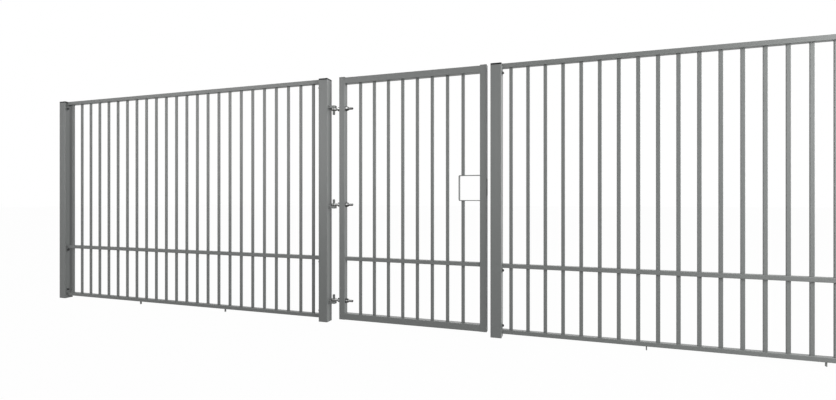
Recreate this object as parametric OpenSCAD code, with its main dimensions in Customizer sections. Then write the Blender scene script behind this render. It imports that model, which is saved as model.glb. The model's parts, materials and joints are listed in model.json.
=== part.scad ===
// Single swing gate in square steel tube, hung between two posts on three
// adjustable eye-bolt hinges, with one whole fence bay on each side.
// The origin is the middle of the hinge post's foot. +X runs along the fence
// from the hinge post to the latch post, +Y to the back, +Z up. Millimetres.

/* [Posts] */
// Outer width of a square post
post_w = 80; // [60:1:100]
// Wall of a post tube
post_wall = 3; // [2:0.5:5]
// Outer corner radius of a post tube
post_r = 5; // [3:0.5:8]
// Length of a post tube above the ground
post_h = 1978; // [1500:1:2400]
// Height of a post cap above the tube
cap_h = 12; // [6:1:14]
// Bevel round the top of a post cap
cap_bevel = 2; // [1:0.5:4]
// Depth of the plug under a post cap
cap_plug = 22; // [16:1:30]
// Gap between a cap's fins and the tube
plug_gap = 0.2; // [0.1:0.1:0.5]

/* [Gate leaf] */
// Width of the leaf over its stiles
leaf_w = 1200; // [900:10:1500]
// Gap below the leaf
leaf_clear = 30; // [20:1:60]
// Outer width of the square leaf tubes
frame_w = 50; // [40:1:60]
// Wall of a leaf tube
frame_wall = 2; // [1.5:0.5:4]
// Outer corner radius of a leaf tube
frame_r = 3.5; // [2.5:0.5:5]
// Height of a stile cap above the tube
stile_cap_h = 5; // [3:0.5:8]
// Bevel round the top of a stile cap
stile_cap_bevel = 1.5; // [0.5:0.5:2.5]
// Depth of the plug under a stile cap
stile_cap_plug = 16; // [14:1:24]
// Gap between leaf and latch post
latch_gap = 30; // [20:1:50]
// Stile's inner face to the middle of the nearest bar
leaf_bar_end = 130; // [100:1:150]

/* [Bars and rails] */
// Spacing of the fence bars, centre to centre
bar_pitch = 120; // [90:1:150]
// Width of a bar across the fence
bar_w = 25; // [16:1:35]
// Depth of a bar front to back
bar_d = 12; // [8:1:20]
// Wall of a bar
bar_wall = 1.5; // [1:0.5:3]
// Outer corner radius of a bar
bar_r = 2; // [1.5:0.5:3.5]
// Height of the flat rails
rail_h = 30; // [25:1:45]
// Depth of the flat rails front to back
rail_d = 40; // [30:1:50]
// Wall of the flat rails
rail_wall = 2; // [1.5:0.5:3]
// Outer corner radius of the flat rails
rail_r = 3; // [2.5:0.5:5]
// Height of the underside of a fence panel's mid rail
mid_rail_z = 505; // [300:5:800]
// Height of the underside of the leaf's mid rail
leaf_mid_rail_z = 507; // [300:1:800]
// Clearance round a bar where it passes through the leaf's mid rail
slot_gap = 0.25; // [0.1:0.05:0.5]

/* [Fence bays] */
// Bars in one bay
bay_bars = 24; // [12:1:30]
// Post face to the middle of a bay's first bar
bay_start = 64; // [50:1:90]
// Middle of a bay's last bar to the next post's face
bay_end = 70; // [50:1:90]
// Gap below the fence panels
panel_clear = 28; // [15:1:50]
// Height of a panel's top rail
top_rail_h = 33; // [25:1:45]
// Top of a panel below the top of the post caps
panel_drop = 4; // [0:1:40]
// Spacing of a panel's two supporting feet
foot_step = 980; // [600:10:1400]
// Width of a supporting foot across the fence
foot_w = 6; // [4:1:12]
// Depth of a supporting foot front to back
foot_d = 15; // [10:1:20]

/* [Panel fixings] */
// Thickness of the end plate on each rail
plate_t = 4; // [3:0.5:6]
// Width of the end plate's tongue
tongue_w = 36; // [28:1:44]
// Bolt set forward of the middle of the fence
bolt_forward = 12; // [0:1:16]
// Bolt centre below the top rail
top_bolt_drop = 34; // [25:1:60]
// Bolt centre below the mid rail
mid_bolt_drop = 18; // [16:1:60]
// Bolt centre above the bottom rail
low_bolt_rise = 29; // [25:1:60]
// Diameter of a fixing bolt
fix_bolt_d = 10; // [8:1:12]
// Clearance round a fixing bolt in its plate and post
fix_gap = 0.5; // [0.3:0.1:1]
// Diameter of the nut inside the post
fix_nut_d = 16; // [14:1:20]
// Height of the nut inside the post
fix_nut_h = 8; // [6:1:12]
// Diameter of a fixing washer
fix_washer_d = 21; // [18:1:24]
// Thickness of a fixing washer
fix_washer_t = 2; // [1.5:0.5:3]
// Diameter of the cover on a bolt head
cover_d = 18; // [15:1:20]
// Height of the cover on a bolt head
cover_h = 9.5; // [8:0.5:14]

/* [Hinges] */
// Height of the lowest hinge
low_hinge_z = 180; // [120:5:400]
// Depth of the highest hinge below the top of the post tube
top_hinge_drop = 242; // [120:2:400]
// Gap between hinge post and leaf
hinge_gap = 100; // [84:1:130]
// Post face to the axis of the pins
pin_out = 40; // [30:0.5:45]
// Diameter of the pins
pin_d = 20; // [16:1:24]
// Running clearance between pin and eye, all round
pin_gap = 0.25; // [0.15:0.05:0.5]
// Length of pin that stands clear of the eye
pin_proud = 33; // [10:1:50]
// Clearance between a pin and its lug
lug_fit = 0.1; // [0.05:0.05:0.2]
// Thickness of a lug
lug_t = 20; // [12:1:24]
// Depth of a lug front to back
lug_d = 40; // [32:1:50]
// Lug metal beyond the axis of the pin
lug_nose = 17.5; // [16:0.5:30]
// Corner radius of a lug's nose
lug_r = 6; // [2:1:12]
// Gap between an eye and its lug
eye_gap = 0.5; // [0.3:0.1:1]
// Outer diameter of an eye
eye_d = 42; // [38:1:50]
// Thickness of an eye along the pin
eye_t = 20; // [14:1:24]
// Radius of the blend from eye to shank
neck_r = 8; // [4:1:12]
// Thread diameter of an eye bolt
eye_bolt_d = 20; // [16:1:24]
// Thread that stands out past the stile
thread_out = 61; // [40:0.5:90]
// Clearance round an eye bolt in the stile
stile_hole_gap = 0.5; // [0.3:0.1:1.5]
// Clearance round a thread in its nut
thread_gap = 0.1; // [0.05:0.05:0.2]
// Nut width across flats
nut_af = 30; // [28:1:38]
// Nut height
nut_h = 18; // [12:1:20]
// Washer diameter
washer_d = 37; // [32:1:44]
// Washer thickness
washer_t = 3; // [2:0.5:4]
// Chamfer on pins, eyes and thread ends
chamfer = 2; // [0.5:0.5:3]

/* [Lock pocket] */
// How far the pocket reaches past the middle of the last bar
pocket_over = 32; // [25:1:60]
// Height of the pocket outside
pocket_h = 192; // [150:1:240]
// Height of the pocket's middle
pocket_z = 1086; // [900:1:1200]
// Thickness of the pocket's strip
strip_t = 6; // [3:0.5:8]
// Width of the strip front to back
strip_d = 30; // [20:1:40]
// Outside radius of the pocket's bends
bend_r = 10; // [9:1:16]
// Length of the lock's forend plate
forend_h = 128; // [110:1:220]
// Width of the forend plate
forend_w = 24; // [20:1:36]
// Thickness of the forend plate
forend_t = 2.5; // [2:0.5:4]
// Middle of the forend plate above the middle of the pocket
forend_up = 5; // [0:1:20]

/* [Hidden] */
$fn = 48;
eps = 0.01;

post_top = post_h + cap_h;

leaf_x0 = post_w / 2 + hinge_gap;
leaf_x1 = leaf_x0 + leaf_w;
stile_in0 = leaf_x0 + frame_w;
stile_in1 = leaf_x1 - frame_w;
latch_x = leaf_x1 + latch_gap + post_w / 2;
stile_top = post_top - stile_cap_h;
top_rail_z = stile_top - frame_w;

leaf_bars = 8;
leaf_pitch = (stile_in1 - stile_in0 - 2 * leaf_bar_end) / (leaf_bars - 1);
leaf_bar_x = [for (i = [0 : leaf_bars - 1]) stile_in0 + leaf_bar_end + i * leaf_pitch];

bay_bars_len = (bay_bars - 1) * bar_pitch;
bay_len = bay_start + bay_bars_len + bay_end;
end_post_step = bay_len + post_w;
panel_top_z = post_top - panel_drop - top_rail_h;
panel_rails = [[panel_clear, rail_h], [mid_rail_z, rail_h], [panel_top_z, top_rail_h]];
bolt_z = [panel_clear + rail_h + low_bolt_rise, mid_rail_z - mid_bolt_drop,
          panel_top_z - top_bolt_drop];

pin_x = post_w / 2 + pin_out;
top_hinge_z = post_h - top_hinge_drop;
hinge_z = [low_hinge_z, (low_hinge_z + top_hinge_z) / 2, top_hinge_z];
eye_seat = max(eye_t, eye_bolt_d) / 2 + eye_gap;

pocket_x = leaf_bar_x[leaf_bars - 1] - pocket_over;
pocket_low = pocket_z - pocket_h / 2;
pocket_high = pocket_z + pocket_h / 2;

paint = "dimgray";
black = [0.08, 0.08, 0.09];
zinc = "silver";

places = ["bottom", "middle", "top"];

// ---- Shared shapes ----

// Rectangle centred on the origin, with round corners
module round_rect(w, d, r) {
    square([w - 2 * r, d], center = true);
    square([w, d - 2 * r], center = true);
    for (x = [-1, 1], y = [-1, 1])
        translate([x * (w / 2 - r), y * (d / 2 - r)]) circle(r);
}

// Section of a rectangular tube
module tube_section(w, d, r, wall) {
    difference() {
        round_rect(w, d, r);
        round_rect(w - 2 * wall, d - 2 * wall, max(r - wall, 0.5));
    }
}

// Upright tube standing on the XY plane
module upright(w, d, r, wall, h) {
    linear_extrude(h) tube_section(w, d, r, wall);
}

// Turns a drawing so that its x runs along +Y, its y up and its height along +X
module facing_x() {
    rotate([90, 0, 90]) children();
}

// Level tube along +X, its underside at z = 0
module level(h, d, r, wall, len) {
    translate([0, 0, h / 2]) facing_x() linear_extrude(len) tube_section(d, h, r, wall);
}

// Slab with its top edges bevelled, as seen along one axis
module bevelled_slab(w, h, bevel) {
    rotate([90, 0, 0]) linear_extrude(w, center = true)
        polygon([[-w / 2, 0], [w / 2, 0], [w / 2, h - bevel], [w / 2 - bevel, h],
                 [bevel - w / 2, h], [-w / 2, h - bevel]]);
}

// Moulded cap for a square tube: a bevelled lid that lies on the tube's end at
// z = 0, and a hollow plug below it with three fins that grip the tube
module cap(w, wall, r, h, bevel, plug) {
    inside = w - 2 * wall - 2 * plug_gap;
    core = inside - 8;
    skin = 2;
    fin_t = 1.5;
    fin_step = (plug - 2 * fin_t) / 3;
    intersection() {
        linear_extrude(h) round_rect(w, w, r);
        bevelled_slab(w, h, bevel);
        rotate([0, 0, 90]) bevelled_slab(w, h, bevel);
    }
    translate([0, 0, -plug]) linear_extrude(plug + eps)
        tube_section(core, core, skin, skin);
    for (i = [1 : 3])
        translate([0, 0, -i * fin_step]) linear_extrude(fin_t) difference() {
            round_rect(inside, inside, max(r - wall, 1));
            round_rect(core - skin, core - skin, skin / 2);
        }
}

// ---- Posts ----

// Square post at x, with bolt holes in the face that carries a panel:
// side is 1 for its +X face and -1 for its -X face
module post(x, side) {
    color(paint) translate([x, 0, 0]) difference() {
        upright(post_w, post_w, post_r, post_wall, post_h);
        for (z = bolt_z)
            translate([side * (post_w - post_wall) / 2, -bolt_forward, z])
                rotate([0, 90, 0])
                    cylinder(d = fix_bolt_d + 2 * fix_gap, h = post_wall + 2, center = true);
    }
}

module post_cap(x) {
    color(black) translate([x, 0, post_h])
        cap(post_w, post_wall, post_r, cap_h, cap_bevel, cap_plug);
}

// ---- Fence bays ----

// Plate on the end of a rail of height h, on the post's face at x = 0. The
// rail's underside is z = 0, and a round-ended tongue hangs below it with the
// bolt's hole
module end_plate(h, drop) {
    facing_x() linear_extrude(plate_t) difference() {
        union() {
            translate([0, h / 2]) round_rect(rail_d, h, rail_r);
            translate([-bolt_forward - tongue_w / 2, -drop])
                square([tongue_w, drop + h / 2]);
            translate([-bolt_forward, -drop]) circle(d = tongue_w);
        }
        translate([-bolt_forward, -drop]) circle(d = fix_bolt_d + 2 * fix_gap);
    }
}

// The plates at one end of a panel. The bottom one stands up
module end_plates() {
    translate([0, 0, panel_top_z]) end_plate(top_rail_h, top_bolt_drop);
    translate([0, 0, mid_rail_z]) end_plate(rail_h, mid_bolt_drop);
    translate([0, 0, panel_clear + rail_h]) mirror([0, 0, 1])
        end_plate(rail_h, low_bolt_rise);
}

// One welded panel between post faces at x = 0 and x = bay_len. The bars pass
// through the mid rail and end inside the outer two, as punched rails take them
module panel() {
    bar_from = panel_clear + rail_h - rail_wall;
    bar_to = panel_top_z + rail_wall;
    difference() {
        union() {
            for (rail = panel_rails)
                translate([plate_t, 0, rail[0]])
                    level(rail[1], rail_d, rail_r, rail_wall, bay_len - 2 * plate_t);
            for (i = [0 : bay_bars - 1])
                translate([bay_start + i * bar_pitch, 0, bar_from])
                    linear_extrude(bar_to - bar_from) round_rect(bar_w, bar_d, bar_r);
        }
        for (i = [0 : bay_bars - 1])
            translate([bay_start + i * bar_pitch, 0, bar_from - 1])
                linear_extrude(bar_to - bar_from + 2)
                    round_rect(bar_w - 2 * bar_wall, bar_d - 2 * bar_wall,
                               max(bar_r - bar_wall, 0.5));
    }
    end_plates();
    translate([bay_len, 0, 0]) mirror([1, 0, 0]) end_plates();
    for (side = [-1, 1])
        translate([bay_start + (bay_bars_len + side * foot_step - foot_w) / 2, -foot_d / 2, 0])
            cube([foot_w, foot_d, panel_clear + rail_wall / 2]);
}

module panel_at(x) {
    color(paint) translate([x, 0, 0]) panel();
}

// Bolt along +X through a plate on the post's face at x = 0: a domed cover
// over its head, a washer, and its nut inside the post
module fixing_bolt() {
    dome_r = 0.7 * cover_d;
    rotate([0, 90, 0]) {
        translate([0, 0, -post_wall - fix_nut_h]) cylinder(d = fix_nut_d, h = fix_nut_h);
        translate([0, 0, -post_wall - 1]) cylinder(d = fix_bolt_d, h = post_wall + plate_t + 2);
        translate([0, 0, plate_t]) {
            cylinder(d = fix_washer_d, h = fix_washer_t);
            intersection() {
                cylinder(d = cover_d, h = fix_washer_t + cover_h);
                translate([0, 0, fix_washer_t + cover_h - dome_r]) sphere(dome_r);
            }
        }
    }
}

// The bolts of one bay between post faces at x and x + bay_len
module panel_fixings(x) {
    color(black) translate([x, -bolt_forward, 0]) for (z = bolt_z) {
        translate([0, 0, z]) fixing_bolt();
        translate([bay_len, 0, z]) mirror([1, 0, 0]) fixing_bolt();
    }
}

// ---- Hinges ----

// Places a hinge piece, drawn round the pin's axis with the pin pointing up.
// The top hinge is turned over, so that the leaf can't be lifted off
module at_hinge(i) {
    translate([pin_x, 0, hinge_z[i]]) mirror([0, 0, i == 2 ? 1 : 0]) children();
}

// Flat lug welded to the post under its eye, with round corners at its nose
module hinge_lug(i) {
    reach = pin_out + lug_nose;
    color(paint) at_hinge(i) translate([0, 0, -eye_seat - lug_t])
        linear_extrude(lug_t) difference() {
            union() {
                translate([-pin_out, -lug_d / 2]) square([reach - lug_r, lug_d]);
                translate([-pin_out, lug_r - lug_d / 2]) square([reach, lug_d - 2 * lug_r]);
                for (side = [-1, 1])
                    translate([lug_nose - lug_r, side * (lug_d / 2 - lug_r)]) circle(lug_r);
            }
            circle(d = pin_d + 2 * lug_fit);
        }
}

// Round rod along +Z with its far end chamfered
module rod(d, len) {
    rotate_extrude()
        polygon([[0, 0], [d / 2, 0], [d / 2, len - chamfer], [d / 2 - chamfer, len], [0, len]]);
}

module hinge_pin(i) {
    below = eye_seat + lug_t;
    color(paint) at_hinge(i) translate([0, 0, -below])
        rod(pin_d, below + eye_t / 2 + pin_proud);
}

// Half of the blend between the eye and its shank, as seen along the pin
module neck_side() {
    cx = sqrt(pow(eye_d / 2 + neck_r, 2) - pow(eye_bolt_d / 2 + neck_r, 2));
    cy = eye_bolt_d / 2 + neck_r;
    difference() {
        polygon([[0, 0], [cx, 0], [cx, cy]]);
        translate([cx, cy]) circle(neck_r);
    }
}

// Forged eye bolt: a chamfered eye round the pin, and a shank along +X that
// runs through both walls of the stile
module eye_bolt(i) {
    len = hinge_gap - pin_out + frame_w + thread_out;
    r = eye_d / 2;
    top = eye_t / 2;
    web_t = min(eye_t, eye_bolt_d) - 3 * chamfer;
    color(zinc) at_hinge(i) difference() {
        union() {
            rotate_extrude()
                polygon([[0, -top], [r - chamfer, -top], [r, chamfer - top],
                         [r, top - chamfer], [r - chamfer, top], [0, top]]);
            linear_extrude(web_t, center = true) {
                neck_side();
                mirror([0, 1]) neck_side();
            }
            rotate([0, 90, 0]) rod(eye_bolt_d, len);
        }
        translate([0, 0, -eye_bolt_d]) cylinder(d = pin_d + 2 * pin_gap, h = 2 * eye_bolt_d);
    }
}

// Repeats a piece on both sides of the hinge stile, facing away from it
module both_sides_of_stile(i) {
    translate([stile_in0, 0, hinge_z[i]]) rotate([0, 90, 0]) children();
    translate([leaf_x0, 0, hinge_z[i]]) rotate([0, -90, 0]) children();
}

module hinge_washers(i) {
    color(zinc) both_sides_of_stile(i) linear_extrude(washer_t) difference() {
        circle(d = washer_d);
        circle(d = eye_bolt_d + 2 * thread_gap);
    }
}

// Hexagon nuts on the washers, their corners turned off at 30 degrees
module hinge_nuts(i) {
    corner = nut_af / 2 / cos(30);
    turned = (corner - nut_af / 2) * tan(30);
    color(zinc) both_sides_of_stile(i) translate([0, 0, washer_t]) difference() {
        intersection() {
            cylinder(r = corner, h = nut_h, $fn = 6);
            rotate_extrude()
                polygon([[0, 0], [nut_af / 2, 0], [corner, turned],
                         [corner, nut_h - turned], [nut_af / 2, nut_h], [0, nut_h]]);
        }
        translate([0, 0, -1]) cylinder(d = eye_bolt_d + 2 * thread_gap, h = nut_h + 2);
    }
}

// ---- Gate leaf ----

module stile(x) {
    translate([x + frame_w / 2, 0, leaf_clear])
        upright(frame_w, frame_w, frame_r, frame_wall, stile_top - leaf_clear);
}

// The hinge stile is drilled right through for the three eye bolts
module hinge_stile() {
    color(paint) difference() {
        stile(leaf_x0);
        for (z = hinge_z)
            translate([leaf_x0 - 1, 0, z]) rotate([0, 90, 0])
                cylinder(d = eye_bolt_d + 2 * stile_hole_gap, h = frame_w + 2);
    }
}

module latch_stile() {
    color(paint) stile(stile_in1);
}

module stile_cap(x) {
    color(paint) translate([x + frame_w / 2, 0, stile_top])
        cap(frame_w, frame_wall, frame_r, stile_cap_h, stile_cap_bevel, stile_cap_plug);
}

module leaf_rail(z) {
    color(paint) translate([stile_in0, 0, z])
        level(frame_w, frame_w, frame_r, frame_wall, stile_in1 - stile_in0);
}

// Flat rail punched for the bars that pass through it
module leaf_mid_rail() {
    color(paint) difference() {
        translate([stile_in0, 0, leaf_mid_rail_z])
            level(rail_h, rail_d, rail_r, rail_wall, stile_in1 - stile_in0);
        for (x = leaf_bar_x)
            translate([x, 0, leaf_mid_rail_z - 1]) linear_extrude(rail_h + 2)
                round_rect(bar_w + 2 * slot_gap, bar_d + 2 * slot_gap, bar_r + slot_gap);
    }
}

module leaf_bar(i, z0, z1) {
    color(paint) translate([leaf_bar_x[i], 0, z0])
        upright(bar_w, bar_d, bar_r, bar_wall, z1 - z0);
}

// ---- Lock ----

// Outline of the pocket in the XZ plane, drawn inset from its outside
module pocket_outline(inset, past) {
    r = bend_r - inset;
    h = pocket_h - 2 * inset;
    translate([pocket_x + inset, pocket_z - h / 2]) {
        translate([r, 0]) square([stile_in1 + past - pocket_x - inset - r, h]);
        translate([0, r]) square([r + 1, h - 2 * r]);
        for (z = [r, h - r]) translate([r, z]) circle(r);
    }
}

// A flat strip bent into a C, its open side welded to the latch stile
module lock_pocket() {
    color(paint) rotate([90, 0, 0]) linear_extrude(strip_d, center = true)
        difference() {
            pocket_outline(0, 0);
            pocket_outline(strip_t, 1);
        }
}

// Round-ended plate on the latch stile's edge
module lock_forend() {
    color(paint) translate([leaf_x1, 0, pocket_z + forend_up]) facing_x()
        linear_extrude(forend_t) {
            square([forend_w, forend_h - forend_w], center = true);
            for (side = [-1, 1])
                translate([0, side * (forend_h - forend_w) / 2]) circle(d = forend_w);
        }
}

// ---- Assembly ----

post(0, -1);  // hinge_post
post_cap(0);  // hinge_post_cap
post(latch_x, 1);  // latch_post
post_cap(latch_x);  // latch_post_cap
post(-end_post_step, 1);  // left_end_post
post_cap(-end_post_step);  // left_end_post_cap
post(latch_x + end_post_step, -1);  // right_end_post
post_cap(latch_x + end_post_step);  // right_end_post_cap
panel_at(-post_w / 2 - bay_len);  // left_fence_panel
panel_at(latch_x + post_w / 2);  // right_fence_panel
panel_fixings(-post_w / 2 - bay_len);  // left_panel_fixings
panel_fixings(latch_x + post_w / 2);  // right_panel_fixings
hinge_stile();
latch_stile();
stile_cap(leaf_x0);  // hinge_stile_cap
stile_cap(stile_in1);  // latch_stile_cap
leaf_rail(top_rail_z);  // leaf_top_rail
leaf_mid_rail();
leaf_rail(leaf_clear);  // leaf_bottom_rail
for (i = [0 : leaf_bars - 2])
    leaf_bar(i, leaf_clear + frame_w, top_rail_z);
leaf_bar(7, pocket_high, top_rail_z);  // leaf_bar_8_upper
leaf_bar(7, leaf_clear + frame_w, pocket_low);  // leaf_bar_8_lower
lock_pocket();
lock_forend();
for (i = [0 : 2]) {
    hinge_lug(i);
    hinge_pin(i);
    eye_bolt(i);
    hinge_nuts(i);
    hinge_washers(i);
}
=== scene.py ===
import json
import math

import bmesh
import bpy
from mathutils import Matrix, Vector


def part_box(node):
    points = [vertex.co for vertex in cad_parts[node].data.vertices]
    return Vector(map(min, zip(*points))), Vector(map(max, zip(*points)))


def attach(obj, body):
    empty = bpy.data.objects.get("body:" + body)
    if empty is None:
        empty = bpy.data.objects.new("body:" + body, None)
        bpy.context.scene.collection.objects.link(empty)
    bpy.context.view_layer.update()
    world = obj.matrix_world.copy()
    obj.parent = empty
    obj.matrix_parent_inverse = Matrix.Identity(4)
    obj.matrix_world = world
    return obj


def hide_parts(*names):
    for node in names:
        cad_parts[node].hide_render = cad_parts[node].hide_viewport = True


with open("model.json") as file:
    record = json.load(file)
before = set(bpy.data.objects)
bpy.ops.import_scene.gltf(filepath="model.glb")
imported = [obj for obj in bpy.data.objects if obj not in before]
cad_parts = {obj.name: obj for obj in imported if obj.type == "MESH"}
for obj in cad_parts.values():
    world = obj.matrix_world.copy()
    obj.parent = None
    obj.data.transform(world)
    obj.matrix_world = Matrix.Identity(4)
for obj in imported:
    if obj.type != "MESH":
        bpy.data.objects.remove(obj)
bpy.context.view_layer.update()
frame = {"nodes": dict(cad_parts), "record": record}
nodes = frame["nodes"]


# ---- Posts ----
# Four square steel tubes, 80 mm across with a 3 mm wall. They are hot-dip
# galvanized and then powder coated mid grey, and stand straight on the ground.

MM = 0.001


class Wire:
    """A node socket that takes part in sums, so that node maths reads as Python."""

    def __init__(self, tree, socket=None):
        self.tree = tree
        self.socket = socket

    def add(self, kind, settings=None, inputs=None, output=0):
        """Adds any other node: its settings first, then the values or links of its inputs."""
        node = self.tree.nodes.new(kind)
        for name, value in (settings or {}).items():
            setattr(node, name, value)
        for name, value in (inputs or {}).items():
            if isinstance(value, Wire):
                self.tree.links.new(value.socket, node.inputs[name])
            else:
                node.inputs[name].default_value = value
        return Wire(self.tree, node.outputs[output] if node.outputs else None)

    def maths(self, operation, first, second=0.0):
        return self.add("ShaderNodeMath", {"operation": operation}, {0: first, 1: second})

    def __add__(self, other):
        return self.maths("ADD", self, other)

    def __sub__(self, other):
        return self.maths("SUBTRACT", self, other)

    def __rsub__(self, other):
        return self.maths("SUBTRACT", other, self)

    def __mul__(self, other):
        return self.maths("MULTIPLY", self, other)

    def __truediv__(self, other):
        return self.maths("DIVIDE", self, other)

    def __rtruediv__(self, other):
        return self.maths("DIVIDE", other, self)

    __radd__ = __add__
    __rmul__ = __mul__


def new_material(name, **values):
    """A material, its Principled shader with the given even values, and a Wire to build on."""
    material = bpy.data.materials.new(name)
    material.use_nodes = True
    shader = material.node_tree.nodes["Principled BSDF"]
    for socket, value in values.items():
        shader.inputs[socket.replace("_", " ")].default_value = value
    return material, shader, Wire(material.node_tree)


def link(shader, socket, wire):
    wire.tree.links.new(wire.socket, shader.inputs[socket])


def grains(wire, size, detail=2.0):
    """Even noise from 0 to 1 whose lumps are about size metres across."""
    place = wire.add("ShaderNodeTexCoord", output="Object")
    return wire.add(
        "ShaderNodeTexNoise", {}, {"Vector": place, "Scale": 1 / size, "Detail": detail}
    )


# A Mix node repeats its socket names for each kind of data that it can mix.
# These are the factor, the two colours and the blended colour.
MIX_SHARE, MIX_UNDER, MIX_OVER, MIX_BLENDED = 0, 6, 7, 2


def blend_colours(wire, share, under, over):
    """The colour `under`, with the colour `over` laid on it by a share from 0 to 1."""
    under, over = [c if isinstance(c, Wire) else (*c, 1) for c in (under, over)]
    return wire.add(
        "ShaderNodeMix",
        {"data_type": "RGBA"},
        {MIX_SHARE: share, MIX_UNDER: under, MIX_OVER: over},
        MIX_BLENDED,
    )


def raised(shader, height, strength, depth):
    """Gives the surface the relief of a height from 0 to 1, depth metres deep."""
    bump = height.add(
        "ShaderNodeBump", {}, {"Height": height, "Strength": strength, "Distance": depth}
    )
    link(shader, "Normal", bump)


def powder_coat(name, grey):
    """Semi-gloss powder coat: an even tone with faint clouds, and orange peel."""
    material, shader, wire = new_material(name, Metallic=0.0, Specular_IOR_Level=0.7)
    clouds = grains(wire, size=350 * MM, detail=3)
    fine = grains(wire, size=0.9 * MM)
    peel = grains(wire, size=2.4 * MM, detail=1.5)
    dark = [0.95 * c for c in grey]
    light = [1.05 * c for c in grey]
    link(shader, "Base Color", blend_colours(wire, 0.8 * clouds + 0.2 * fine, dark, light))
    link(shader, "Roughness", 0.36 + 0.06 * clouds + 0.05 * fine)
    raised(shader, peel + 0.25 * fine, strength=0.4, depth=0.06 * MM)
    return material


def paint(names, material):
    for name in names:
        slots = nodes[name].data.materials
        for i in range(len(slots)):
            slots[i] = material


POWDER_GREY = (0.1090, 0.1150, 0.1120)
post_paint = powder_coat("post_paint", POWDER_GREY)
posts = ("hinge_post", "latch_post", "left_end_post", "right_end_post")
paint(posts, post_paint)


# ---- Post caps ----
# Moulded black polyethylene lids, pressed into the post tubes. Their tops are
# lightly textured by the mould and have a bevelled rim.

def moulded(name, colour, grain, roughness, gloss):
    """Moulded plastic: one colour with a fine spark-eroded grain."""
    material, shader, wire = new_material(name, Metallic=0.0, Specular_IOR_Level=gloss)
    tone = grains(wire, size=50 * MM)
    dark = [0.85 * c for c in colour]
    link(shader, "Base Color", blend_colours(wire, tone, dark, colour))
    texture = grains(wire, size=grain)
    link(shader, "Roughness", roughness + 0.1 * texture)
    raised(shader, texture, strength=0.4, depth=0.05 * MM)
    return material


CAP_BLACK = (0.005, 0.005, 0.0055)
cap_plastic = moulded("cap_plastic", CAP_BLACK, grain=0.5 * MM, roughness=0.45, gloss=0.1)
paint([post + "_cap" for post in posts], cap_plastic)


# ---- Fence panels ----
# Each bay is one welded panel of flat tube bars in punched rails, powder
# coated whole after welding, with cut plates on its rail ends and two flat
# feet under it. Short beads hold each bar front and back at every rail.

def new_tree(name, **sizes):
    """An empty geometry tree as a Wire to build on, and a Wire from each of its named inputs."""
    tree = bpy.data.node_groups.new(name, "GeometryNodeTree")
    sockets = tree.interface
    sockets.new_socket("Paths", in_out="INPUT", socket_type="NodeSocketGeometry")
    for size, kind in sizes.items():
        sockets.new_socket(size, in_out="INPUT", socket_type="NodeSocket" + kind)
    sockets.new_socket("Piece", in_out="OUTPUT", socket_type="NodeSocketGeometry")
    start = tree.nodes.new("NodeGroupInput")
    return Wire(tree), {s.name: Wire(tree, s) for s in start.outputs if s.name}


def end_tree(piece, material):
    """Closes a tree: its instances are made real and take the material."""
    real = piece.add("GeometryNodeRealizeInstances", {}, {"Geometry": piece})
    smooth = real.add("GeometryNodeSetShadeSmooth", {}, {"Geometry": real})
    dressed = smooth.add(
        "GeometryNodeSetMaterial", {}, {"Geometry": smooth, "Material": material}
    )
    end = piece.tree.nodes.new("NodeGroupOutput")
    piece.tree.links.new(dressed.socket, end.inputs["Piece"])


def grow(name, mesh, tree, **values):
    """Runs a tree on a mesh of points or edges and keeps the result as a plain mesh."""
    seed = bpy.data.objects.new(name + "_seed", mesh)
    bpy.context.scene.collection.objects.link(seed)
    modifier = seed.modifiers.new("grow", "NODES")
    modifier.node_group = tree
    for socket in tree.interface.items_tree:
        if socket.name in values:
            modifier[socket.identifier] = values[socket.name]
    graph = bpy.context.evaluated_depsgraph_get()
    plain = bpy.data.meshes.new_from_object(seed.evaluated_get(graph))
    bpy.data.objects.remove(seed)
    piece = bpy.data.objects.new(name, plain)
    bpy.context.scene.collection.objects.link(piece)
    return piece


def weld_tree():
    """A painted weld bead along each path: uneven, rippled, and rounded off at open ends."""
    wire, given = new_tree(
        "weld_bead",
        Radius="Float",
        Spacing="Float",
        Ripple="Float",
        Unevenness="Float",
        Sides="Int",
        Material="Material",
    )
    radius = given["Radius"]
    paths = wire.add("GeometryNodeMeshToCurve", {}, {"Mesh": given["Paths"]})
    run = wire.add(
        "GeometryNodeResampleCurve",
        {"mode": "LENGTH"},
        {"Curve": paths, "Length": given["Spacing"]},
    )
    along = wire.add("GeometryNodeSplineParameter", output="Length")
    whole = wire.add("GeometryNodeSplineLength", output="Length")
    closed = wire.add("GeometryNodeInputSplineCyclic")

    # An open end starts at half the width and is full after 0.8 of a radius
    start_width, full_growth = 0.5, 1.6
    from_end = wire.maths("MINIMUM", along, whole - along)
    tip = wire.maths("MINIMUM", 1.0, start_width + from_end / (full_growth * radius))
    taper = wire.maths("MAXIMUM", tip, closed)

    # Ripples follow each other by about a radius, and lumps by about 3 mm
    ripple_step, lumps_per_mm = 1.1, 0.35
    turn = along * (2 * math.pi) / (ripple_step * radius)
    wave = given["Ripple"] * wire.maths("SINE", turn)
    place = wire.add("GeometryNodeInputPosition")
    noise = wire.add(
        "ShaderNodeTexNoise",
        {},
        {"Vector": place, "Scale": lumps_per_mm / MM, "Detail": 1.0},
    )
    lumps = given["Unevenness"] * (noise - 0.5)

    section = wire.add(
        "GeometryNodeCurvePrimitiveCircle",
        {},
        {"Resolution": given["Sides"], "Radius": radius},
    )
    beads = wire.add(
        "GeometryNodeCurveToMesh",
        {},
        {
            "Curve": run,
            "Profile Curve": section,
            "Scale": taper * (1 + wave + lumps),
            "Fill Caps": True,
        },
    )
    end_tree(beads, given["Material"])
    return wire.tree


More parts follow.
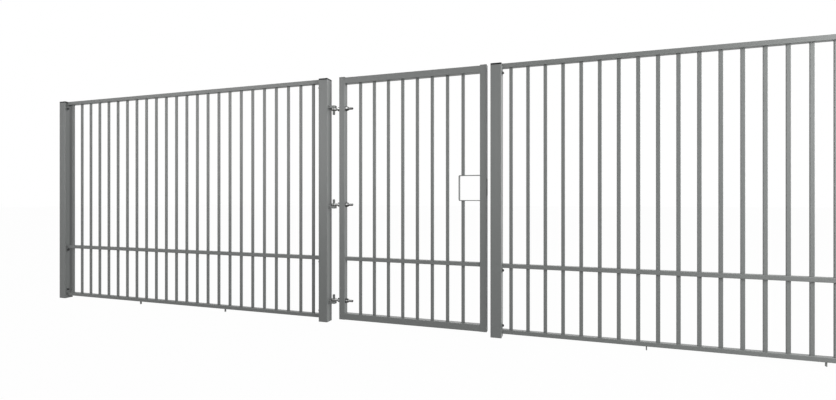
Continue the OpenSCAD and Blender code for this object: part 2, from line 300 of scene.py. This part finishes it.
class WeldPaths:
    """Weld paths in millimetres, gathered into one mesh of edges."""

    def __init__(self):
        self.points = []
        self.edges = []

    def run(self, points, closed=False):
        first = len(self.points)
        self.points += [tuple(MM * v for v in p) for p in points]
        last = len(self.points) - 1
        self.edges += [(i, i + 1) for i in range(first, last)]
        if closed:
            self.edges.append((last, first))

    def loop_round(self, x, y, z, wide, high, corner, across="X"):
        """A closed path round a rectangle, square to X or to Z, centred on x, y, z."""
        points = []
        steps = 4
        for quarter in range(4):
            turn = quarter * math.pi / 2
            side = (1, -1, -1, 1)[quarter] * (wide / 2 - corner)
            rise = (1, 1, -1, -1)[quarter] * (high / 2 - corner)
            for i in range(steps + 1):
                a = turn + i * math.pi / 2 / steps
                u, v = side + corner * math.cos(a), rise + corner * math.sin(a)
                points.append((x, y + u, z + v) if across == "X" else (x + u, y + v, z))
        self.run(points, closed=True)

    def mesh(self, name):
        mesh = bpy.data.meshes.new(name)
        mesh.from_pydata(self.points, self.edges, [])
        return mesh


def corners_mm(name):
    low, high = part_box(name)
    return low / MM, high / MM


fence_paint = powder_coat("fence_paint", POWDER_GREY)
paint(("left_fence_panel", "right_fence_panel"), fence_paint)

# Sizes in millimetres, as the panel is built. A rail is its lower and upper height
bar_pitch, first_bar, bar_count = 120, 64, 24
bar_wide, bar_deep = 25, 12
low_rail, mid_rail, top_rail = (28, 58), (505, 535), (1953, 1986)
rail_deep, end_plate = 40, 4
foot_wide, foot_deep, foot_step = 6, 15, 980

# A small bead's middle line lies this far off the two faces that it joins
off_face = 0.35


def bar_beads(paths, x, z, up):
    """Beads across a bar's front and back, above (up = 1) or below a rail's face at z."""
    rounded_edge = 1.5
    reach = bar_wide / 2 - rounded_edge
    for side in (-1, 1):
        y = side * (bar_deep / 2 + off_face)
        paths.run([(x - reach, y, z + up * off_face), (x + reach, y, z + up * off_face)])


def plate_bead(paths, x, z, up, rail):
    """A bead at a rail's end: over its lower face (up = 1) or upper face at z, round the
    front corner and on to near mid-height."""
    behind, corner, short = 5, 1, 2
    front = -rail_deep / 2 - off_face
    half = (rail[1] - rail[0]) / 2 - short
    paths.run([
        (x, behind, z),
        (x, front + corner, z),
        (x, front, z + up * corner),
        (x, front, z + up * half),
    ])


def panel_beads(paths, panel):
    low, high = corners_mm(panel)
    for i in range(bar_count):
        x = low.x + first_bar + i * bar_pitch
        bar_beads(paths, x, low_rail[1], 1)
        bar_beads(paths, x, mid_rail[0], -1)
        bar_beads(paths, x, mid_rail[1], 1)
        bar_beads(paths, x, top_rail[0], -1)
    for x in (low.x + end_plate + off_face, high.x - end_plate - off_face):
        plate_bead(paths, x, top_rail[0] - off_face, 1, top_rail)
        plate_bead(paths, x, mid_rail[0] - off_face, 1, mid_rail)
        plate_bead(paths, x, low_rail[1] + off_face, -1, low_rail)
    middle = low.x + first_bar + (bar_count - 1) * bar_pitch / 2
    larger, corner = 1, 1
    for side in (-1, 1):
        x = middle + side * foot_step / 2
        z = low_rail[0] - off_face
        wide, deep = foot_wide + larger, foot_deep + larger
        paths.loop_round(x, 0, z, wide, deep, corner, across="Z")


weld_bead = weld_tree()
fence_beads = WeldPaths()
for panel in ("left_fence_panel", "right_fence_panel"):
    panel_beads(fence_beads, panel)
fence_welds = grow(
    "fence_welds",
    fence_beads.mesh("fence_weld_paths"),
    weld_bead,
    Radius=1.5 * MM,
    Spacing=2.6 * MM,
    Ripple=0.0,
    Unevenness=0.7,
    Sides=5,
    Material=fence_paint,
)
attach(fence_welds, "fence")


# ---- Panel fixings ----
# Steel bolts and washers in a black coating. Each holds the plate on a rail's
# end to a post, and has a domed cover on its head.

FIXING_BLACK = (0.016, 0.016, 0.017)
fixing_black = moulded("fixing_black", FIXING_BLACK, grain=0.8 * MM, roughness=0.42, gloss=0.3)
paint(("left_panel_fixings", "right_panel_fixings"), fixing_black)


# ---- Hinge lugs and pins ----
# Flat steel lugs welded to the post all round, each with a turned pin through
# it that is welded on the far side, powder coated with the post.

places = ("bottom", "middle", "top")
hinge_paint = powder_coat("hinge_paint", POWDER_GREY)
paint([f"hinge_lug_{p}" for p in places] + [f"hinge_pin_{p}" for p in places], hinge_paint)

off_lug, lug_corner = 0.8, 1.5
lug_beads, pin_beads = WeldPaths(), WeldPaths()
for place in places:
    low, high = corners_mm(f"hinge_lug_{place}")
    middle = (low + high) / 2
    wide, tall = high.y - low.y + 2 * off_lug, high.z - low.z + 2 * off_lug
    lug_beads.loop_round(low.x + off_lug, 0, middle.z, wide, tall, lug_corner)
    far_side = high.z if place == "top" else low.z
    pin_low, pin_high = corners_mm(f"hinge_pin_{place}")
    pin_x = (pin_low.x + pin_high.x) / 2
    pin_r = (pin_high.x - pin_low.x) / 2
    pin_beads.loop_round(pin_x, 0, far_side, 2 * pin_r, 2 * pin_r, pin_r, across="Z")
lug_welds = grow(
    "lug_welds",
    lug_beads.mesh("lug_weld_paths"),
    weld_bead,
    Radius=3.0 * MM,
    Spacing=0.8 * MM,
    Ripple=0.06,
    Unevenness=0.3,
    Sides=12,
    Material=hinge_paint,
)
pin_welds = grow(
    "pin_welds",
    pin_beads.mesh("pin_weld_paths"),
    weld_bead,
    Radius=2.0 * MM,
    Spacing=0.6 * MM,
    Ripple=0.07,
    Unevenness=0.35,
    Sides=10,
    Material=hinge_paint,
)
for piece in (lug_welds, pin_welds):
    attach(piece, "fence")


# ---- Gate leaf ----
# A welded frame of 50 mm square tube with flat tube bars between its rails and
# a punched mid rail, powder coated whole. The corner welds are ground on the
# outside and left as laid inside. Grey plastic caps close the stiles.

leaf_paint = powder_coat("leaf_paint", POWDER_GREY)
leaf = frame["record"]["behaviour"]["bodies"]["leaf"]
hardware = ("eye_", "hinge_nuts", "hinge_washers")
painted = [n for n in leaf if not n.startswith(hardware) and not n.endswith("_cap")]
paint(painted, leaf_paint)

STILE_CAP_GREY = (0.10, 0.104, 0.102)
stile_plastic = moulded(
    "stile_plastic", STILE_CAP_GREY, grain=0.5 * MM, roughness=0.5, gloss=0.35
)
paint(("hinge_stile_cap", "latch_stile_cap"), stile_plastic)

leaf_beads, corner_beads = WeldPaths(), WeldPaths()
leaf_mid = corners_mm("leaf_mid_rail")
leaf_top = corners_mm("leaf_top_rail")
leaf_low = corners_mm("leaf_bottom_rail")
for name in leaf:
    if name.startswith("leaf_bar_"):
        low, high = corners_mm(name)
        x = (low.x + high.x) / 2
        bar_beads(leaf_beads, x, low.z, 1)
        bar_beads(leaf_beads, x, high.z, -1)
        if low.z < leaf_mid[0].z:
            bar_beads(leaf_beads, x, leaf_mid[0].z, -1)
            bar_beads(leaf_beads, x, leaf_mid[1].z, 1)

# A corner's bead is ground down to just proud of the tube, except on the side
# that faces the bars. The mid rail's bead is left as laid all round
ground_down, rail_corner, edge = 1.3, 2.5, 3
for low, high, inside in ((*leaf_top, -1), (*leaf_low, 1), (*leaf_mid, 0)):
    for x in (low.x, high.x):
        middle = (low + high) / 2
        larger = -2 * ground_down if inside else 2 * off_face
        wide, tall = high.y - low.y + larger, high.z - low.z + larger
        corner_beads.loop_round(x, 0, middle.z, wide, tall, rail_corner)
        if inside:
            z = (low.z if inside < 0 else high.z) + inside * off_face
            reach = high.y - edge
            corner_beads.run([(x, -reach, z), (x, reach, z)])

pocket_low, pocket_high = corners_mm("lock_pocket")
strip_thick, strip_corner = 6, 1
for z in (pocket_low.z + strip_thick / 2, pocket_high.z - strip_thick / 2):
    wide = pocket_high.y - pocket_low.y + 2 * off_face
    tall = strip_thick + 2 * off_face
    leaf_beads.loop_round(pocket_high.x, 0, z, wide, tall, strip_corner)
leaf_welds = grow(
    "leaf_welds",
    leaf_beads.mesh("leaf_weld_paths"),
    weld_bead,
    Radius=1.5 * MM,
    Spacing=2.2 * MM,
    Ripple=0.0,
    Unevenness=0.7,
    Sides=6,
    Material=leaf_paint,
)
corner_welds = grow(
    "corner_welds",
    corner_beads.mesh("corner_weld_paths"),
    weld_bead,
    Radius=2.0 * MM,
    Spacing=1.2 * MM,
    Ripple=0.04,
    Unevenness=0.3,
    Sides=8,
    Material=leaf_paint,
)
for piece in (leaf_welds, corner_welds):
    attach(piece, "leaf")


# ---- Eye bolts, nuts and washers ----
# Forged M20 eye bolts with bright zinc plating. They turn on the pins and are
# set in the stile by a nut and washer on each side of it. The shank is
# threaded from just behind the neck to its cut and chamfered end.

hinge_heights = [sum(v.z for v in corners_mm(f"eye_bolt_{p}")) / 2 for p in places]
hinge_step = hinge_heights[1] - hinge_heights[0]
ZINC_DULL = (0.30, 0.305, 0.305)
ZINC_BRIGHT = (0.44, 0.445, 0.44)
# The dark film tone stands for oil and grease, and also for painted shade under the bolts, on
# the nuts' upper facets and in the thread roots.
OIL_FILM_AND_PAINTED_SHADE = (0.040, 0.039, 0.037)
CUT_STEEL = (0.030, 0.029, 0.028)
NO_TOP_SHADE = 99.0


def coordinate(vector, axis):
    """The X, Y or Z of a vector."""
    return vector.add("ShaderNodeSeparateXYZ", {}, {"Vector": vector}, axis)


def zinc_tone(wire, oiled=0.0, dust_from=NO_TOP_SHADE):
    """Faintly clouded zinc under a dark film. Painted shade darkens the zinc under each bolt's
    axis, and a real grease film lies round its greased pin. `oiled` is an even oil film's share
    on the rest, and painted shade darkens the upper faces from a height over the bolt's axis,
    given as the last argument. Heights are in millimetres."""
    clouds = grains(wire, size=7 * MM, detail=3)
    ragged = clouds - 0.5
    place = wire.add("ShaderNodeTexCoord", output="Object")
    along, height = coordinate(place, "X") / MM, coordinate(place, "Z") / MM
    bolt = wire.maths("FLOOR", (height - (hinge_heights[0] - hinge_step / 2)) / hinge_step)
    over_axis = height - hinge_heights[0] - hinge_step * bolt

    def film(value, bare, covered, share):
        """Film that sets in smoothly, up to its share, as a value goes from bare to covered."""
        limits = {"Value": value, "From Min": bare, "From Max": covered, "To Max": share}
        return wire.add("ShaderNodeMapRange", {"interpolation_type": "SMOOTHSTEP"}, limits)

    # Painted shade: the zinc under each bolt's axis is darkened, as if in shadow.
    painted_underside_shade = film(over_axis + 3 * ragged, bare=1.0, covered=-3.5, share=0.95)
    grease = film(along + 6 * ragged, bare=104.0, covered=96.0, share=0.5)
    # Painted shade: upper faces from the given height up are darkened, as on the nuts' top
    # facets.
    dust = film(over_axis + 2 * ragged, bare=dust_from, covered=dust_from + 2, share=0.85)
    thickest = wire.maths("MAXIMUM", wire.maths("MAXIMUM", painted_underside_shade, grease), dust)
    thickest = wire.maths("MAXIMUM", thickest, oiled)
    plated = blend_colours(wire, clouds, ZINC_DULL, ZINC_BRIGHT)
    return clouds, thickest, blend_colours(wire, thickest, plated, OIL_FILM_AND_PAINTED_SHADE)


def zinc_plate(name, grain, relief, **dirt_and_shade):
    """Bright zinc plating over a forged or turned surface."""
    material, shader, wire = new_material(name, Metallic=1.0)
    clouds, film, tone = zinc_tone(wire, **dirt_and_shade)
    fine = grains(wire, size=grain)
    link(shader, "Base Color", tone)
    link(shader, "Roughness", 0.20 + 0.12 * clouds + 0.06 * fine + 0.12 * film)
    raised(shader, fine, strength=0.5, depth=relief)
    return material


def thread_zinc(name):
    """The same plating on a thread, with painted shade darkening its roots, and bare steel at
    its cut end.
    """
    material, shader, wire = new_material(name, Metallic=1.0)
    clouds, _, tone = zinc_tone(wire)
    root = wire.add("ShaderNodeAttribute", {"attribute_name": "root"}, output="Fac")
    cut = wire.add("ShaderNodeAttribute", {"attribute_name": "cut"}, output="Fac")
    # Painted shade: the thread's roots are darkened towards the dark film tone.
    rooted = blend_colours(wire, 0.75 * root, tone, OIL_FILM_AND_PAINTED_SHADE)
    link(shader, "Base Color", blend_colours(wire, cut, rooted, CUT_STEEL))
    link(shader, "Roughness", 0.24 + 0.12 * clouds + 0.15 * root + 0.2 * cut)
    raised(shader, grains(wire, size=0.6 * MM), strength=0.4, depth=0.02 * MM)
    return material


forged_zinc = zinc_plate("forged_zinc", grain=1.3 * MM, relief=0.10 * MM)
# The nuts' upper facets, from 7.5 mm over the axis, get painted shade.
nut_zinc = zinc_plate("nut_zinc", grain=0.6 * MM, relief=0.03 * MM, dust_from=7.5)
washer_zinc = zinc_plate("washer_zinc", grain=0.6 * MM, relief=0.03 * MM, oiled=0.7)
paint([f"hinge_nuts_{p}" for p in places], nut_zinc)
paint([f"hinge_washers_{p}" for p in places], washer_zinc)

# Along X, in millimetres: the forging ends inside the start of the thread
neck_end = 110
thread_from = 105


def forged_eyes():
    """The eyes and necks with a forging's soft edges, cut off where the thread takes over."""
    shapes = bmesh.new()
    for place in places:
        shapes.from_mesh(nodes[f"eye_bolt_{place}"].data)
    bmesh.ops.remove_doubles(shapes, verts=shapes.verts, dist=0.001 * MM)
    everything = shapes.verts[:] + shapes.edges[:] + shapes.faces[:]
    cut = bmesh.ops.bisect_plane(
        shapes,
        geom=everything,
        plane_co=(neck_end * MM, 0, 0),
        plane_no=(1, 0, 0),
        clear_outer=True,
    )
    rims = [e for e in cut["geom_cut"] if isinstance(e, bmesh.types.BMEdge)]
    bmesh.ops.holes_fill(shapes, edges=rims)
    mesh = bpy.data.meshes.new("forged_eyes")
    shapes.to_mesh(mesh)
    shapes.free()
    blank = bpy.data.objects.new("eye_blank", mesh)
    bpy.context.scene.collection.objects.link(blank)
    remesh = blank.modifiers.new("remesh", "REMESH")
    remesh.mode = "VOXEL"
    remesh.voxel_size = 0.5 * MM
    soften = blank.modifiers.new("soften", "SMOOTH")
    soften.factor = 0.5
    soften.iterations = 14
    thin = blank.modifiers.new("thin", "DECIMATE")
    thin.ratio = 0.4
    graph = bpy.context.evaluated_depsgraph_get()
    plain = bpy.data.meshes.new_from_object(blank.evaluated_get(graph))
    bpy.data.objects.remove(blank)
    plain.shade_smooth()
    plain.materials.clear()
    plain.materials.append(forged_zinc)
    eyes = bpy.data.objects.new("eye_bolt_eyes", plain)
    bpy.context.scene.collection.objects.link(eyes)
    return eyes


def thread_tree():
    """A screw thread along +X from each point: a grid sheared along the lead and rolled up."""
    wire, given = new_tree(
        "screw_thread",
        Length="Float",
        Pitch="Float",
        Diameter="Float",
        Depth="Float",
        Chamfer="Float",
        Around="Int",
        Material="Material",
    )
    length, pitch, depth = given["Length"], given["Pitch"], given["Depth"]
    outer = given["Diameter"] / 2
    around = given["Around"]

    # A lap has two rows of points on the crest, then two in the root, each pair
    # a land apart. Spare laps run in before the start and are pressed flat there
    rows_per_lap, pair, land, run_in = 4, 2, 0.14, 2
    rows = rows_per_lap * (wire.maths("CEIL", length / pitch) + (run_in + 1))
    grid = wire.add(
        "GeometryNodeMeshGrid",
        {},
        {"Size X": around, "Size Y": rows - 1, "Vertices X": around + 1, "Vertices Y": rows},
    )
    place = wire.add("GeometryNodeInputPosition")
    column = wire.maths("ROUND", coordinate(place, "X") + around / 2)
    row = wire.maths("ROUND", coordinate(place, "Y") + (rows - 1) / 2)
    turn = column / around
    lap = wire.maths("FLOOR", row / rows_per_lap)
    step = row - rows_per_lap * lap
    rooted = wire.maths("FLOOR", step / pair)
    ahead = lap + 0.5 * rooted + land * (step - pair * rooted) + turn - run_in
    along = wire.maths("MINIMUM", length, wire.maths("MAXIMUM", 0.0, ahead * pitch))
    phase = wire.maths("FRACT", along / pitch - turn + run_in)

    def ramp(start):
        """From 0 to 1 between a land's end and the start of the next land."""
        rise = (phase - start) / (0.5 - land)
        return wire.maths("MINIMUM", 1.0, wire.maths("MAXIMUM", 0.0, rise))

    groove = ramp(land) - ramp(0.5 + land)
    thread = outer - depth * groove
    chamfered = wire.maths("MINIMUM", thread, outer - given["Chamfer"] + (length - along))

    # The first and last rows shrink to a point, which closes both ends
    past_first = wire.maths("GREATER_THAN", row, 0.5)
    before_last = wire.maths("LESS_THAN", row, rows - 1.5)
    radius = chamfered * (past_first * before_last)
    angle = turn * (2 * math.pi)
    spot = wire.add(
        "ShaderNodeCombineXYZ",
        {},
        {
            "X": along,
            "Y": radius * wire.maths("COSINE", angle),
            "Z": radius * wire.maths("SINE", angle),
        },
    )
    at_end = wire.maths("GREATER_THAN", along, length - 0.01 * MM)
    marked = grid
    for name, value in (("root", groove), ("cut", at_end)):
        marked = wire.add(
            "GeometryNodeStoreNamedAttribute",
            {"data_type": "FLOAT", "domain": "POINT"},
            {"Geometry": marked, "Name": name, "Value": value},
        )
    rolled = wire.add("GeometryNodeSetPosition", {}, {"Geometry": marked, "Position": spot})
    closed = wire.add(
        "GeometryNodeMergeByDistance", {}, {"Geometry": rolled, "Distance": 0.002 * MM}
    )
    bolts = wire.add(
        "GeometryNodeInstanceOnPoints", {}, {"Points": given["Paths"], "Instance": closed}
    )
    end_tree(bolts, given["Material"])
    return wire.tree


eyes = forged_eyes()
shank_end = corners_mm("eye_bolt_middle")[1].x
starts = bpy.data.meshes.new("thread_starts")
starts.from_pydata([(thread_from * MM, 0, z * MM) for z in hinge_heights], [], [])
threads = grow(
    "eye_bolt_threads",
    starts,
    thread_tree(),
    Length=(shank_end - thread_from) * MM,
    Pitch=2.5 * MM,
    Diameter=19.9 * MM,
    Depth=1.4 * MM,
    Chamfer=1.6 * MM,
    Around=28,
    Material=thread_zinc("thread_zinc"),
)
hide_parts(*[f"eye_bolt_{p}" for p in places])
for piece in (eyes, threads):
    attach(piece, "leaf")


# ---- Floor, light and camera ----
# A plain pale floor with soft studio light. The camera stands before the
# right-hand bay, a metre above the ground, and looks at the leaf.

WHITE = (1, 1, 1, 1)


def white_to_the_eye(wire):
    """1 for rays that go straight to the eye, or reach it by a mirror or through glass."""
    kinds = ("Is Camera Ray", "Is Glossy Ray", "Is Transmission Ray")
    camera, glossy, through = [wire.add("ShaderNodeLightPath", output=k) for k in kinds]
    return wire.maths("MAXIMUM", camera, wire.maths("MAXIMUM", glossy, through))


def plain_floor(reach, tone, white_share):
    """Pale floor that shows almost white to the eye and keeps a soft shadow."""
    mesh = bpy.data.meshes.new("floor")
    corners = [(-reach, -reach, 0), (reach, -reach, 0), (reach, reach, 0), (-reach, reach, 0)]
    mesh.from_pydata(corners, [], [(0, 1, 2, 3)])
    floor = bpy.data.objects.new("floor", mesh)
    bpy.context.scene.collection.objects.link(floor)
    material = bpy.data.materials.new("floor")
    material.use_nodes = True
    tree = material.node_tree
    tree.nodes.clear()
    wire = Wire(tree)
    pale = wire.add("ShaderNodeBsdfDiffuse", {}, {"Color": (tone, tone, tone, 1)})
    white = wire.add("ShaderNodeEmission", {}, {"Color": WHITE, "Strength": 1.0})
    share = white_share * white_to_the_eye(wire)
    mixed = wire.add("ShaderNodeMixShader", {}, {0: share, 1: pale, 2: white})
    wire.add("ShaderNodeOutputMaterial", {"is_active_output": True}, {"Surface": mixed})
    mesh.materials.append(material)


def studio_world(level):
    """Even light all round, with a white backdrop for the eye and for reflections."""
    world = bpy.data.worlds.new("studio")
    bpy.context.scene.world = world
    world.use_nodes = True
    tree = world.node_tree
    tree.nodes.clear()
    wire = Wire(tree)
    even = wire.add("ShaderNodeBackground", {}, {"Color": WHITE, "Strength": level})
    white = wire.add("ShaderNodeBackground", {}, {"Color": WHITE, "Strength": 1.0})
    mixed = wire.add("ShaderNodeMixShader", {}, {0: white_to_the_eye(wire), 1: even, 2: white})
    wire.add("ShaderNodeOutputWorld", {}, {"Surface": mixed})


def softbox(name, place, aim, size, watts):
    data = bpy.data.lights.new(name, "AREA")
    data.shape = "RECTANGLE"
    data.size, data.size_y = size
    data.energy = watts
    lamp = bpy.data.objects.new(name, data)
    lamp.location = place
    direction = Vector(aim) - Vector(place)
    lamp.rotation_euler = direction.to_track_quat("-Z", "Y").to_euler()
    bpy.context.scene.collection.objects.link(lamp)


plain_floor(reach=60.0, tone=0.45, white_share=0.985)
studio_world(level=0.12)
softbox("front softbox", place=(-2.0, -6.3, 2.6), aim=(-1.4, 0, 2.1), size=(6.5, 3), watts=80)
softbox("left softbox", place=(-4.4, -4.6, 2.4), aim=(-1.2, 0, 1.6), size=(4, 3), watts=95)
softbox("right softbox", place=(6.8, -2.0, 2.5), aim=(0.4, 0, 1.3), size=(2.5, 3), watts=550)
softbox("overhead softbox", place=(-0.4, -2.2, 4.6), aim=(-0.2, 0, 1.9), size=(8, 1.2), watts=20)
softbox("back softbox", place=(0.7, 5.8, 5.6), aim=(0.7, 0, 1.0), size=(8, 2), watts=320)

camera_data = bpy.data.cameras.new("camera")
camera_data.sensor_width = 36.0
camera_data.lens = 20.31
camera_data.shift_y = -0.00197
camera = bpy.data.objects.new("camera", camera_data)
camera.location = (1.9379, -3.4553, 1.0091)
camera.rotation_euler = (math.radians(90), 0, math.radians(18.16))
bpy.context.scene.collection.objects.link(camera)
bpy.context.scene.camera = camera
bpy.context.scene.view_settings.view_transform = "Standard"
